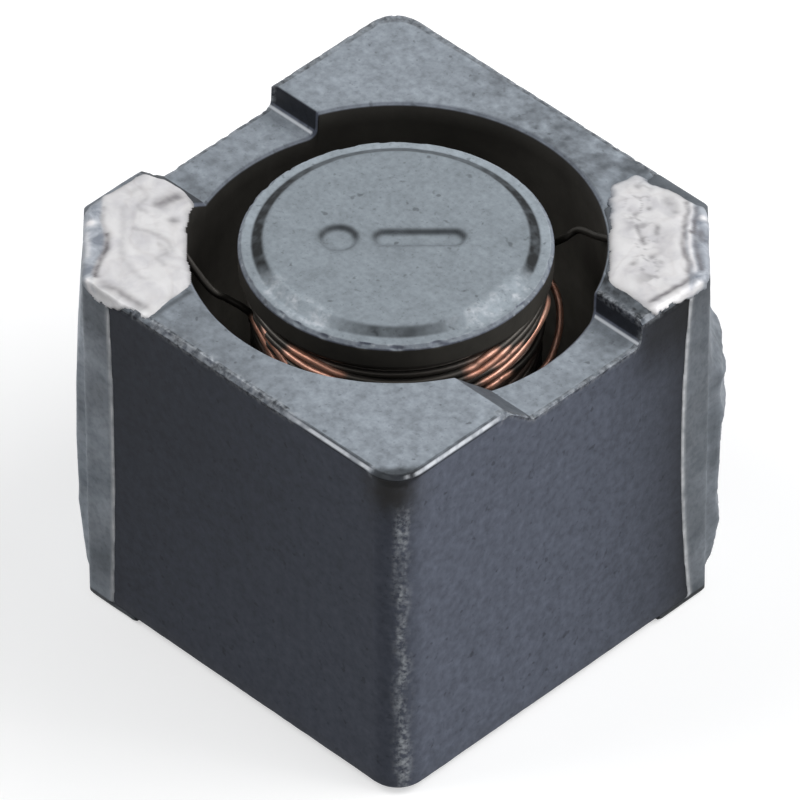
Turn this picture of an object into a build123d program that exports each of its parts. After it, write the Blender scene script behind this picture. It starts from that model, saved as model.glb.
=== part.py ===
from build123d import *
import math
import os

# Shielded surface-mount power inductor, in millimetres.
# A ferrite drum core is wound with enamelled wire and glued into a square ferrite ring core.
# A folded terminal clip sits on each of two opposite corners of the ring, and the wire ends are
# soldered to the clips' top tabs.
# The origin is on the board, under the drum's axis. +X and +Y are square to the ring's sides.

# Ring core
side = 12.3              # across the flats
ring_top = 10.0          # height of the ring's top above the board
standoff = 0.1           # the ring's underside stands this far off the board
ring_wall = 1.19         # at its thinnest, between the bore and a side face
corner_radius = 0.85     # the two corners that carry no terminal
corner_cut = 1.9         # the other two corners, taken off along each side by a clip's leg
edge_break = 0.12        # outer edges, top and bottom
bore_edge_break = 0.1
notch_depth = 0.7        # lowered stretch in the middle of two opposite walls
notch_step_margin = 4.2  # from the ring's +Y face to the notch's steep end
notch_root_radius = 0.26
notch_ramp_margin = 3.65  # from the ring's -Y face to the top of its sloping end
notch_ramp_length = 0.85

# Drum core
drum_bottom = 0.15
drum_proud = 0.08        # the drum's top stands this far above the ring's top
bond_line = 0.1          # glue gap round the base flange
base_flange_thickness = 1.3
base_flange_edge = 0.15
flange_gap = 1.24        # between the top flange and the bore
rim_thickness = 0.7      # top flange at its rim
rim_land = 0.31          # flat part of the rim
plateau_rise = 0.15      # raised middle of the top flange
plateau_slope = 0.3      # radial width of the bevel round it
rim_edge = 0.1
rim_under_edge = 0.06

# Moulded start-of-winding mark in the plateau: a dot and a bar
mark_depth = 0.08
mark_dot_radius = 0.42
mark_dot_place = -1.35   # along the line through the two terminals
mark_bar_length = 2.1
mark_bar_width = 0.5
mark_bar_place = 0.55

# Winding
wire_diameter = 0.3
winding_setback = 0.2    # from the top flange's rim to the crest of the outer layer
winding_depth = 1.52     # from that crest to the drum's post
lead_exit_drop = 0.7     # the leads leave the winding this far under the top flange
lead_exit_bury = 0.3     # and start this deep inside it
lead_exit_turn = 62.0    # round the axis from the terminal's diagonal, in degrees
lead_wall_turn = 10.0    # where a lead starts to climb the bore
lead_wall_gap = 0.4      # from the bore to the wire's middle there
lead_wall_drop = 0.75    # from the tab's slot to the foot of that climb
lead_end_margin = 1.25   # from the leg's outer face to the wire's end
lead_bend = 0.4
lead_lift = 0.02         # under the wire where it lies in its slot

# Terminal clips
sheet = 0.2
tab_length = 3.5         # the top tab, along each side from the square's corner
tab_setback = 0.05       # from the bore
slot_clearance = 0.09    # beside the wire
slot_end = 0.25          # past the wire's end
pad_length = 3.45        # the pad under the ring, as the tab
pad_setback = 0.3
lug_top_width = 0.74     # lugs folded on to the two side faces
lug_mid_width = 0.92     # widest, at lug_mid_height
lug_mid_height = 6.6
lug_foot_width = 0.66
bend_radius = 0.17
strap_bow = 0.3          # the leg's middle bows off the corner
strap_bow_height = 4.6   # where the bow is fullest
strap_width = 1.7
strap_margin = 0.7       # from the bow to the leg's ends

# Solder on the top tabs: its length along the plain wall and the notched one, from the square's corner
solder_rise = 0.15
solder_edge = 0.1
solder_inset = 0.18      # from the clip's outer faces
right_solder_plain = 3.53
right_solder_notched = 3.65
left_solder_plain = 3.65
left_solder_notched = 3.6

# Worked out from the values above
half = side / 2
root_two = math.sqrt(2)
flat = (side - corner_cut) / root_two          # axis to the outer face of a clip's leg
core_flat = flat - sheet                       # axis to the ring's own cut corner
core_chamfer = side - core_flat * root_two
clip_corner = half - corner_cut                # where a leg's outer face meets a side face
core_corner = half - core_chamfer
bore_radius = half - ring_wall
notch_floor = ring_top - notch_depth
notch_step = half - notch_step_margin          # the notch's ends, from the axis
notch_ramp_head = half - notch_ramp_margin
notch_ramp_foot = notch_ramp_head - notch_ramp_length
drum_top = ring_top + drum_proud
rim_top = drum_top - plateau_rise
window_top = rim_top - rim_thickness
window_bottom = drum_bottom + base_flange_thickness
base_flange_radius = bore_radius - bond_line
top_flange_radius = bore_radius - flange_gap
plateau_radius = top_flange_radius - rim_land - plateau_slope
winding_radius = top_flange_radius - winding_setback
post_radius = winding_radius - winding_depth
wire_radius = wire_diameter / 2
lead_wall_radius = bore_radius - lead_wall_gap
lead_end_radius = flat - lead_end_margin
slot_width = wire_diameter + 2 * slot_clearance
half_turn = (0, 0, 180)                        # from one terminal to the other, round the drum's axis
tab_seat = ring_top - sheet
terminal_line = Axis((0, 0, 0), (1, 1, 0))
terminal_plane = Plane((0, 0, 0), x_dir=(1, 1, 0), z_dir=(1, -1, 0))
side_face = Plane((half, 0, 0), x_dir=(0, 1, 0), z_dir=(1, 0, 0))


def corner_points(plain, notched, inset=0.0):
    """The +X +Y corner from above, cut by the clip's leg, for a length along each wall."""
    edge = half - inset
    cut = (flat - inset) * root_two - edge
    start = (half - plain, half - notched)
    return [(start[0], edge), (cut, edge), (edge, cut), (edge, start[1]), start]


def around(radius, turn, height):
    """A point at an angle round the drum's axis, counted from the +X +Y terminal's diagonal."""
    angle = math.radians(45 + turn)
    return (radius * math.cos(angle), radius * math.sin(angle), height)


def on_outer_face(point):
    """True on a clip's three outer faces: the two sides and the cut corner."""
    reach = max(point.X - half, point.Y - half, (point.X + point.Y) / root_two - flat)
    return math.isclose(reach, 0, abs_tol=1e-6)


# One lug on its side face: a full-height strip with a bowed inner edge
lug_foot = (clip_corner - lug_foot_width, 0)
lug_middle = (clip_corner - lug_mid_width, lug_mid_height)
lug_head = (clip_corner - lug_top_width, ring_top)
with BuildSketch(side_face) as lug_outline:
    with BuildLine():
        ThreePointArc(lug_foot, lug_middle, lug_head)
        Polyline(lug_head, (clip_corner, ring_top), (clip_corner, 0), lug_foot)
    make_face()

# The bow of a leg's strap, outside and inside the sheet
bow_low = strap_margin
bow_high = ring_top - strap_margin
with BuildSketch(terminal_plane) as bow_outside:
    with BuildLine():
        ThreePointArc((flat, bow_low), (flat + strap_bow, strap_bow_height), (flat, bow_high))
        Line((flat, bow_high), (flat, bow_low))
    make_face()
with BuildSketch(terminal_plane) as bow_inside:
    with BuildLine():
        ThreePointArc((core_flat, bow_low), (core_flat + strap_bow, strap_bow_height), (core_flat, bow_high))
        Line((core_flat, bow_high), (core_flat, bow_low))
    make_face()

# Wire of one lead from the winding to the terminal on the +X +Y corner
lead_exit_height = window_top - lead_exit_drop
lead_slot_height = tab_seat + lead_lift + wire_radius
lead_points = [
    around(winding_radius - lead_exit_bury, lead_exit_turn, lead_exit_height),
    around(lead_wall_radius, lead_wall_turn, lead_slot_height - lead_wall_drop),
    around(lead_wall_radius, 0, lead_slot_height),
    around(lead_end_radius, 0, lead_slot_height),
]
with BuildPart() as lead:
    with BuildLine() as lead_path:
        FilletPolyline(*lead_points, radius=lead_bend)
    with BuildSketch(Plane(lead_path.line @ 0, z_dir=lead_path.line % 0)):
        Circle(wire_radius)
    sweep(path=lead_path.line)

# Winding: the outer layer's turns show as ridges, and both leads belong to the same wire
turns = int((window_top - window_bottom) / wire_diameter)
pitch = (window_top - window_bottom) / turns
turn_root = winding_radius - pitch / 2
with BuildPart() as winding:
    with BuildSketch(Plane.XZ):
        with BuildLine():
            Polyline((turn_root, window_bottom), (post_radius, window_bottom), (post_radius, window_top),
                     (turn_root, window_top))
            for turn in range(turns):
                low = window_bottom + turn * pitch
                Polyline((turn_root, low), (winding_radius, low + pitch / 2), (turn_root, low + pitch))
        make_face()
    revolve(axis=Axis.Z)
    add(lead.part)
    add(lead.part, rotation=half_turn)
winding.part.label = "winding"

# Drum core: base flange, post and top flange in one pressed and sintered piece
with BuildPart() as drum_core:
    with BuildSketch(Plane.XZ):
        with BuildLine():
            Polyline(
                (0, drum_bottom),
                (base_flange_radius, drum_bottom),
                (base_flange_radius, window_bottom),
                (post_radius, window_bottom),
                (post_radius, window_top),
                (top_flange_radius, window_top),
                (top_flange_radius, rim_top),
                (plateau_radius + plateau_slope, rim_top),
                (plateau_radius, drum_top),
                (0, drum_top),
                close=True,
            )
        make_face()
    revolve(axis=Axis.Z)
    circles = drum_core.edges().filter_by(GeomType.CIRCLE)
    top_rims = circles.filter_by(lambda e: math.isclose(e.radius, top_flange_radius)).sort_by(Axis.Z)
    base_rims = circles.filter_by(lambda e: math.isclose(e.radius, base_flange_radius)).sort_by(Axis.Z)
    chamfer(top_rims[-1], rim_edge)
    chamfer(top_rims[0], rim_under_edge)
    chamfer(base_rims[0], base_flange_edge)
    with BuildSketch(Plane((0, 0, drum_top), x_dir=(1, 1, 0), z_dir=(0, 0, 1))):
        with Locations((mark_dot_place, 0)):
            Circle(mark_dot_radius)
        with Locations((mark_bar_place, 0)):
            SlotOverall(mark_bar_length, mark_bar_width)
    extrude(amount=-mark_depth, mode=Mode.SUBTRACT)
drum_core.part.label = "drum_core"

# Seat of one clip: what the ring gives up for the tab, the lugs and the pad
with BuildPart() as clip_seat:
    with BuildSketch(Plane.XY.offset(ring_top)):
        Polygon(*corner_points(tab_length, tab_length), align=None)
    extrude(amount=-sheet)
    with BuildSketch(Plane.XY):
        Polygon(*corner_points(pad_length, pad_length), align=None)
    extrude(amount=sheet)
    lug_seat = extrude(lug_outline.sketch, amount=-sheet)
    mirror(lug_seat, about=terminal_plane)

# Ring core
with BuildPart() as shield_ring:
    with BuildSketch(Plane.XY.offset(standoff)) as ring_outline:
        Rectangle(side, side)
        corners = ring_outline.vertices().sort_by(terminal_line)
        fillet(corners[1:3], corner_radius)
        ends = ring_outline.vertices().sort_by(terminal_line)
        chamfer([ends[0], ends[-1]], core_chamfer)
    extrude(amount=ring_top - standoff)
    chamfer(shield_ring.faces().sort_by(Axis.Z)[-1].edges(), edge_break)
    chamfer(shield_ring.faces().sort_by(Axis.Z)[0].edges(), edge_break)
    Hole(bore_radius)
    bore_edges = shield_ring.edges().filter_by(GeomType.CIRCLE)
    chamfer(bore_edges.filter_by(lambda e: math.isclose(e.radius, bore_radius)), bore_edge_break)
    with BuildSketch(Plane.YZ):
        Polygon((-notch_ramp_head, ring_top), (-notch_ramp_foot, notch_floor), (notch_step, notch_floor),
                (notch_step, ring_top), align=None)
    extrude(amount=half, both=True, mode=Mode.SUBTRACT)
    floor_edges = shield_ring.edges().filter_by(Axis.X)
    floor_edges = floor_edges.filter_by(lambda e: math.isclose(e.center().Z, notch_floor))
    fillet(floor_edges.group_by(Axis.Y)[-1], notch_root_radius)
    add(clip_seat.part, mode=Mode.SUBTRACT)
    add(clip_seat.part, rotation=half_turn, mode=Mode.SUBTRACT)
shield_ring.part.label = "shield_ring"

# Terminal clip on the +X +Y corner: top tab, leg with a bowed strap, two lugs and the pad
with BuildPart() as terminal_right:
    with BuildSketch(Plane.XY):
        with BuildLine():
            Polyline((half, core_corner), (half, clip_corner), (clip_corner, half), (core_corner, half), close=True)
        make_face()
    extrude(amount=ring_top)
    lug = extrude(lug_outline.sketch, amount=-sheet)
    mirror(lug, about=terminal_plane)
    with BuildSketch(Plane.XY.offset(ring_top)):
        Polygon(*corner_points(tab_length, tab_length), align=None)
        Circle(bore_radius + tab_setback, mode=Mode.SUBTRACT)
    extrude(amount=-sheet)
    with BuildSketch(Plane.XY):
        Polygon(*corner_points(pad_length, pad_length), align=None)
        Circle(bore_radius + pad_setback, mode=Mode.SUBTRACT)
    extrude(amount=sheet)
    with BuildSketch(Plane((0, 0, ring_top), x_dir=(1, 1, 0), z_dir=(0, 0, 1))):
        with Locations((bore_radius, 0)):
            Rectangle(lead_end_radius + slot_end - bore_radius, slot_width, align=(Align.MIN, Align.CENTER))
    extrude(amount=-sheet, mode=Mode.SUBTRACT)
    bends = terminal_right.edges().filter_by(lambda e: on_outer_face(e.center()))
    fillet(bends.group_by(Axis.Z)[-1] + bends.group_by(Axis.Z)[0], bend_radius)
    extrude(bow_outside.sketch, amount=strap_width / 2, both=True)
    extrude(bow_inside.sketch, amount=strap_width / 2, both=True, mode=Mode.SUBTRACT)
terminal_right.part.label = "terminal_right"
with BuildPart() as terminal_left:
    add(terminal_right.part, rotation=half_turn)
terminal_left.part.label = "terminal_left"

# Glue behind the bowed strap
with BuildPart() as terminal_bond_right:
    extrude(bow_inside.sketch, amount=strap_width / 2, both=True)
terminal_bond_right.part.label = "terminal_bond_right"
with BuildPart() as terminal_bond_left:
    add(terminal_bond_right.part, rotation=half_turn)
terminal_bond_left.part.label = "terminal_bond_left"

# Glue line round the base flange
with BuildPart() as core_bond:
    with BuildSketch(Plane.XY.offset(drum_bottom + base_flange_edge)):
        Circle(bore_radius)
        Circle(base_flange_radius, mode=Mode.SUBTRACT)
    extrude(amount=base_flange_thickness - base_flange_edge)
core_bond.part.label = "core_bond"


# Solder over each top tab, filling the tab's slot round the wire
slot_plane = Plane((0, 0, ring_top), x_dir=(1, 1, 0), z_dir=(0, 0, 1))
slot_fill_length = lead_end_radius + slot_end - bore_radius - tab_setback
with BuildPart() as solder_right:
    with BuildSketch(Plane.XY.offset(ring_top)):
        Polygon(*corner_points(right_solder_plain, right_solder_notched, solder_inset), align=None)
        Circle(bore_radius + tab_setback, mode=Mode.SUBTRACT)
    extrude(amount=solder_rise)
    chamfer(solder_right.faces().sort_by(Axis.Z)[-1].edges(), solder_edge)
    with BuildSketch(slot_plane):
        with Locations((bore_radius + tab_setback, 0)):
            Rectangle(slot_fill_length, slot_width, align=(Align.MIN, Align.CENTER))
    extrude(amount=-sheet)
    add(lead.part, mode=Mode.SUBTRACT)
solder_right.part.label = "solder_right"

with BuildPart() as left_mound:
    with BuildSketch(Plane.XY.offset(ring_top)):
        Polygon(*corner_points(left_solder_plain, left_solder_notched, solder_inset), align=None)
        Circle(bore_radius + tab_setback, mode=Mode.SUBTRACT)
    extrude(amount=solder_rise)
    chamfer(left_mound.faces().sort_by(Axis.Z)[-1].edges(), solder_edge)
    with BuildSketch(slot_plane):
        with Locations((bore_radius + tab_setback, 0)):
            Rectangle(slot_fill_length, slot_width, align=(Align.MIN, Align.CENTER))
    extrude(amount=-sheet)
    add(lead.part, mode=Mode.SUBTRACT)
with BuildPart() as solder_left:
    add(left_mound.part, rotation=half_turn)
solder_left.part.label = "solder_left"

os.makedirs("parts", exist_ok=True)
pieces = [
    shield_ring,
    drum_core,
    winding,
    terminal_left,
    terminal_right,
    solder_left,
    solder_right,
    core_bond,
    terminal_bond_left,
    terminal_bond_right,
]
for piece in pieces:
    export_step(piece.part, f"parts/{piece.part.label}.step")
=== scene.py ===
import math

import bpy
import numpy as np
from mathutils import Matrix, Vector, noise


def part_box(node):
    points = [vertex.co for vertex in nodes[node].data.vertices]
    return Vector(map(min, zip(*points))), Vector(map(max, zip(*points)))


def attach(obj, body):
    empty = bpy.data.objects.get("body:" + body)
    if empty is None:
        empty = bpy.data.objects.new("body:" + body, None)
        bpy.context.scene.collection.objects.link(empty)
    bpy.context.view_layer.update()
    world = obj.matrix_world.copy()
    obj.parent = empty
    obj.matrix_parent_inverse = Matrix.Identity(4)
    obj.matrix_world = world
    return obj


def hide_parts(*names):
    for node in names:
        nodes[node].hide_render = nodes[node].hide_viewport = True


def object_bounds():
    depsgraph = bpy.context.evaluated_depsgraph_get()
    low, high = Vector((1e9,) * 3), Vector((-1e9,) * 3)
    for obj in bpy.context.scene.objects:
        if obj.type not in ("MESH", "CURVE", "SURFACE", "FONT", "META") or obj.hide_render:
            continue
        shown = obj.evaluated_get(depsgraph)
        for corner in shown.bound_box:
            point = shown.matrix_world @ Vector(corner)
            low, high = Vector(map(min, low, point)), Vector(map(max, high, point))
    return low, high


# A tall shielded surface-mount inductor, dressed on its CAD frame.
# Shapes are worked out in millimetres and turned into metres where a mesh is made.
MM = 0.001
ROOT_TWO = math.sqrt(2)
SLANT = math.sqrt(0.5)

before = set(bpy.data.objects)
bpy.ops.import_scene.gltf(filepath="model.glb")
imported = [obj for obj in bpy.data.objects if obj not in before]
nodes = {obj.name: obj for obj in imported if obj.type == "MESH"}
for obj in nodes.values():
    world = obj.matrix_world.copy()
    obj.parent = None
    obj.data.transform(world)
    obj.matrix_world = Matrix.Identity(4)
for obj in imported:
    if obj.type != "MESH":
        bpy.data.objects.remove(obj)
cad_low, cad_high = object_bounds()
box_low = np.array(cad_low) / MM
box_high = np.array(cad_high) / MM


def cad_points(node):
    """A CAD node's vertices, in millimetres."""
    return np.array([v.co for v in nodes[node].data.vertices], float) / MM


def cad_radius(points):
    """The largest distance from the drum's axis."""
    return float(np.hypot(points[:, 0], points[:, 1]).max())


# Sizes read from the frame
half_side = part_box("shield_ring")[1].x / MM
ring_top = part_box("shield_ring")[1].z / MM
ring_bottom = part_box("shield_ring")[0].z / MM
drum_points = cad_points("drum_core")
drum_top = float(drum_points[:, 2].max())
drum_bottom = float(drum_points[:, 2].min())
flange_points = drum_points[drum_points[:, 2] > ring_top / 2]
flange_radius = cad_radius(flange_points)
flange_underside = float(flange_points[:, 2].min())
base_radius = cad_radius(drum_points)
bore_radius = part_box("core_bond")[1].x / MM
base_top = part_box("core_bond")[1].z / MM
post_radius = float(np.hypot(*cad_points("winding")[:, :2].T).min())
clip_points = cad_points("terminal_right")
foot_points = clip_points[clip_points[:, 2] < 1.0]
leg_reach = float((foot_points[:, 0] + foot_points[:, 1]).max()) / ROOT_TWO

# Camera, fitted to the photograph
VIEW_AZIMUTH = 45.0
VIEW_ELEVATION = 41.6
VIEW_ROLL = -0.2
VIEW_DISTANCE = 300.0
VIEW_CENTRE_HEIGHT = 5.0
VIEW_AIM_RIGHT = 0.0806
VIEW_AIM_UP = -0.0142
LENS = 569.25
SENSOR = 36.0


def grain(points, size, shift=0.0, octaves=3):
    """Smooth noise of about -1 to 1 at each point, with features of a size in millimetres."""
    moved = np.asarray(points, float) / size + shift
    return np.array([noise.fractal(p, 1.0, 2.0, octaves) for p in moved])


def unit(values):
    """Values held between 0 and 1."""
    return np.clip(values, 0.0, 1.0)


def smooth_step(values, low, high):
    """0 below low, 1 above high, and a smooth rise between them."""
    t = unit((values - low) / (high - low))
    return t * t * (3.0 - 2.0 * t)


def fade(values, low, high):
    """1 below low, 0 above high, and a smooth fall between them."""
    return 1 - smooth_step(values, low, high)


def bell(values, width):
    """1 at 0, and a fall over a width to both sides."""
    return np.exp(-(values / width) ** 2)


def inward(depth, width):
    """1 at an edge, and a fall over a width behind it."""
    return np.exp(-np.maximum(depth, 0.0) / width)


def inside_box(points):
    """Points held to the CAD model's box."""
    return np.clip(points, box_low, box_high)


def add_object(name, data):
    thing = bpy.data.objects.new(name, data)
    bpy.context.scene.collection.objects.link(thing)
    return thing


def add_piece(name, points, faces, material, slot, **values):
    """A smooth-shaded mesh piece on the part's only body, from points in millimetres.
    Its values are numbers at the points, for the material."""
    mesh = bpy.data.meshes.new(name)
    mesh.from_pydata((np.asarray(points) * MM).tolist(), [], [list(map(int, f)) for f in faces])
    mesh.polygons.foreach_set("use_smooth", [True] * len(mesh.polygons))
    mesh.materials.append(material)
    mesh.update()
    for key, numbers in values.items():
        layer = mesh.attributes.new(key, "FLOAT", "POINT")
        layer.data.foreach_set("value", np.asarray(numbers, np.float32))
    piece = add_object(name, mesh)
    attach(piece, "root")
    return piece


def strip_quads(rows, columns, closed=True):
    """Quads between rows of points; each row is a loop, and the last row may join the first."""
    index = np.arange(rows * columns).reshape(rows, columns)
    after = np.roll(index, -1, axis=1)
    quads = np.stack([index, after, np.roll(after, -1, axis=0), np.roll(index, -1, axis=0)], axis=-1)
    return (quads if closed else quads[:-1]).reshape(-1, 4)


def dense_mesh(node, voxel):
    """An even mesh of a CAD node: points and normals in millimetres, and quads."""
    source = add_object("source", nodes[node].data.copy())
    source.data.transform(Matrix.Scale(1.0 / MM, 4))
    remesh = source.modifiers.new("remesh", "REMESH")
    remesh.mode = "VOXEL"
    remesh.voxel_size = voxel
    graph = bpy.context.evaluated_depsgraph_get()
    mesh = bpy.data.meshes.new_from_object(source.evaluated_get(graph))
    bpy.data.objects.remove(source)
    points = np.array([v.co for v in mesh.vertices], float)
    normals = np.array([n.vector for n in mesh.vertex_normals], float)
    quads = np.array([p.vertices[:] for p in mesh.polygons if len(p.vertices) == 4], int)
    bpy.data.meshes.remove(mesh)
    return points, normals, quads


# Materials

class Nodes:
    """Short ways to add and join the nodes of a material or a world."""

    def __init__(self, owner):
        owner.use_nodes = True
        self.owner = owner
        self.tree = owner.node_tree
        self.tree.nodes.clear()

    def add(self, kind, inputs=None, **settings):
        """A node with its settings, and its inputs set to numbers and colours or joined to outputs."""
        node = self.tree.nodes.new("ShaderNode" + kind)
        for name, value in settings.items():
            setattr(node, name, value)
        for socket, value in (inputs or {}).items():
            if isinstance(value, tuple):
                node.inputs[socket].default_value = (*value, 1.0)
            elif isinstance(value, (int, float)):
                node.inputs[socket].default_value = value
            else:
                self.tree.links.new(value, node.inputs[socket])
        return node

    def number(self, operation, first, second):
        return self.add("Math", {0: first, 1: second}, operation=operation).outputs[0]

    def place(self):
        """Coordinates in millimetres, fixed to the part."""
        coordinates = self.add("TexCoord").outputs["Object"]
        return self.add("VectorMath", {0: coordinates, "Scale": 1.0 / MM}, operation="SCALE").outputs[0]

    def noise(self, place, per_mm, detail=3.0, rough=0.6, twist=0.0):
        inputs = {"Vector": place, "Scale": per_mm, "Detail": detail, "Roughness": rough, "Distortion": twist}
        return self.add("TexNoise", inputs).outputs["Fac"]

    def ramp(self, value, *stops):
        """Colours or greys at places from 0 to 1 along a value."""
        node = self.add("ValToRGB", {"Fac": value})
        elements = node.color_ramp.elements
        while len(elements) < len(stops):
            elements.new(0.5)
        for element, (where, colour) in zip(elements, stops):
            element.position = where
            shade = colour if isinstance(colour, tuple) else (colour,) * 3
            element.color = (*shade, 1.0)
        return node.outputs["Color"]

    def mix(self, factor, first, second, blend="MIX"):
        inputs = {0: factor, 6: first, 7: second}
        return self.add("Mix", inputs, data_type="RGBA", blend_type=blend).outputs[2]

    def times(self, colour, other, share=1.0):
        return self.mix(share, colour, other, "MULTIPLY")

    def bump(self, height, distance_mm, strength, under=None):
        inputs = {"Height": height, "Distance": distance_mm * MM, "Strength": strength}
        if under is not None:
            inputs["Normal"] = under
        return self.add("Bump", inputs).outputs["Normal"]

    def attribute(self, name, output="Fac"):
        return self.add("Attribute", attribute_name=name).outputs[output]

    def toned(self, colour):
        """A colour multiplied by the tone at each point, which may be above 1."""
        return self.times(colour, self.attribute("tone", "Color"))

    def upward(self):
        """The surface normal's share along +Z."""
        return self.add("SeparateXYZ", {0: self.add("NewGeometry").outputs["Normal"]}).outputs["Z"]

    def by_ray(self, stray, seen):
        """One shader for bounced light, and one for what the camera, a reflection or glass sees."""
        path = self.add("LightPath").outputs
        looking = self.number("MAXIMUM", path["Is Camera Ray"], path["Is Glossy Ray"])
        looking = self.number("MAXIMUM", looking, path["Is Transmission Ray"])
        return self.add("MixShader", {0: looking, 1: stray.outputs[0], 2: seen.outputs[0]})

    def finish(self, shader, output="OutputMaterial"):
        self.add(output, {"Surface": shader.outputs[0]})
        return self.owner

    def surface(self, colour, roughness, normal, **settings):
        inputs = {"Base Color": colour, "Roughness": roughness, "Normal": normal}
        inputs.update({name.replace("_", " "): value for name, value in settings.items()})
        return self.finish(self.add("BsdfPrincipled", inputs))


def ferrite_material(name, ground, grain_size, mottling):
    """Sintered ferrite: ground grey on top, darker on the pressed sides, mottled and finely pitted.
    Points may be worn pale (a painted highlight on the drum's bevel), polished bright with a painted
    highlight,
    or covered with a dark coat: painted shade in the bore and on the drum below its top, grime at the ring's
    corner."""
    n = Nodes(bpy.data.materials.new(name))
    place = n.place()
    blotch = n.noise(place, 1.3)
    mottle = n.noise(place, 1.0 / grain_size, 2.5)
    grit = n.noise(place, 9.0, 2.0)
    pits = n.noise(place, 4.3, 1.5, 0.5)
    upward = n.ramp(n.upward(), (0.5, 0.0), (0.9, 1.0))
    colour = n.mix(upward, (0.119, 0.133, 0.173), ground)
    colour = n.times(colour, n.ramp(mottle, (0.3, 1 - mottling), (0.5, 1.0), (0.72, 1 + mottling)))
    colour = n.times(colour, n.ramp(blotch, (0.3, 0.72), (0.62, 1.0)), 0.5)
    colour = n.times(colour, n.ramp(grit, (0.28, 0.45), (0.38, 1.0)), 0.4)
    colour = n.times(colour, n.ramp(pits, (0.25, 0.3), (0.32, 1.0)), 0.55)
    # Dark coat: painted shade in the bore and on the drum below its top, and grime at the ring's front corner
    varnish = n.ramp(blotch, (0.3, (0.045, 0.042, 0.037)), (0.7, (0.062, 0.058, 0.051)))
    colour = n.toned(n.mix(n.attribute("dirt"), colour, varnish))
    speckle = n.ramp(n.noise(place, 7.0), (0.4, 0.0), (0.66, 1.0))
    # Worn pale, speckled; on the drum's bevel this pale colour paints a highlight
    colour = n.mix(n.number("MULTIPLY", n.attribute("wear"), speckle), colour, (0.56, 0.59, 0.63))
    # Painted highlight: a pale colour with a smoother finish along the chamfer lines and the notches' roots
    colour = n.mix(n.attribute("polish"), colour, (0.82, 0.85, 0.9))
    rough = n.ramp(n.attribute("polish"), (0.0, 0.62), (1.0, 0.35))
    normal = n.bump(grit, 0.012, 0.25, n.bump(mottle, 0.02, 0.2))
    return n.surface(colour, rough, normal, Specular_IOR_Level=0.15)


def copper_material():
    """Copper wire under clear enamel, in painted shade wherever it isn't given painted light."""
    n = Nodes(bpy.data.materials.new("enamelled_copper"))
    place = n.place()
    cloud = n.noise(place, 2.5)
    colour = n.ramp(cloud, (0.3, (0.66, 0.31, 0.21)), (0.55, (0.86, 0.47, 0.35)), (0.8, (0.95, 0.6, 0.48)))
    # Painted shade: a near-black brown, less dark where the wire's shade value is higher
    varnish = n.ramp(n.attribute("coated"), (0.0, (0.014, 0.013, 0.011)), (1.0, (0.088, 0.081, 0.073)))
    colour = n.mix(n.attribute("clean"), varnish, colour)
    rough = n.ramp(cloud, (0.3, 0.48), (0.7, 0.36))
    normal = n.bump(n.noise(place, 14.0, 2.0), 0.01, 0.3)
    return n.surface(colour, rough, normal, Metallic=0.5, Specular_IOR_Level=0.15)


def solder_material():
    """Solder, pale and dull, with the outlines of its last pools, burnt flux in its pits
    and a thin grey coat."""
    n = Nodes(bpy.data.materials.new("solder"))
    place = n.place()
    flow = n.noise(place, 0.55, 1.5, 0.45, 0.6)
    first, second = (n.number("ABSOLUTE", n.number("SUBTRACT", flow, level), 0.0) for level in (0.47, 0.58))
    pools = n.ramp(n.number("MINIMUM", first, second), (0.0, (0.66, 0.61, 0.59)), (0.03, 1.0))
    cloud = n.noise(place, 1.5, 3.0, 0.55, 0.5)
    colour = n.times(n.ramp(cloud, (0.32, (0.63, 0.62, 0.64)), (0.56, (0.76, 0.75, 0.755))), pools, 0.16)
    smear = n.noise(place, 1.9, 3.0, 0.6, 0.8)
    coat = n.ramp(smear, (0.34, (0.2, 0.225, 0.27)), (0.64, (0.52, 0.555, 0.61)))
    colour = n.mix(n.attribute("thin"), colour, coat)
    colour = n.toned(n.mix(n.attribute("stain"), colour, (0.15, 0.14, 0.15)))
    rough = n.ramp(flow, (0.3, 0.55), (0.7, 0.42))
    normal = n.bump(n.noise(place, 2.6, 3.0, 0.5, 0.5), 0.03, 0.4)
    normal = n.bump(n.noise(place, 10.0, 2.0), 0.01, 0.35, normal)
    return n.surface(colour, rough, normal, Metallic=0.1, Specular_IOR_Level=0.35)


def tinned_material():
    """Dull tin plate on the clips, brighter along its cut edges, which are worn and get a painted highlight.
    """
    n = Nodes(bpy.data.materials.new("tinned_metal"))
    place = n.place()
    cloud = n.noise(place, 0.9, 4.0, 0.6, 0.4)
    speck = n.noise(place, 6.0)
    plate = ((0.3, (0.25, 0.285, 0.325)), (0.52, (0.375, 0.415, 0.465)), (0.75, (0.5, 0.54, 0.595)))
    colour = n.toned(n.times(n.ramp(cloud, *plate), n.ramp(speck, (0.3, 0.7), (0.55, 1.0)), 0.6))
    colour = n.mix(n.attribute("wear"), colour, (0.8, 0.81, 0.83))
    rough = n.ramp(speck, (0.3, 0.62), (0.7, 0.45))
    normal = n.bump(speck, 0.012, 0.4, n.bump(cloud, 0.04, 0.4))
    return n.surface(colour, rough, normal, Metallic=0.1, Specular_IOR_Level=0.15)


def epoxy_material():
    """Dark cured glue."""
    n = Nodes(bpy.data.materials.new("epoxy"))
    cloud = n.noise(n.place(), 2.0)
    colour = n.ramp(cloud, (0.3, (0.02, 0.02, 0.022)), (0.7, (0.05, 0.05, 0.055)))
    return n.surface(colour, 0.4, n.bump(cloud, 0.03, 0.4))


ferrite = ferrite_material("ferrite", (0.3, 0.335, 0.375), 0.22, 0.22)
drum_ferrite = ferrite_material("drum_ferrite", (0.274, 0.311, 0.343), 0.16, 0.13)
copper = copper_material()
solder = solder_material()
tinned = tinned_material()
epoxy = epoxy_material()


# Ring core: walls laid out in columns, so that its edges and the notches' ends stay crisp

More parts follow.
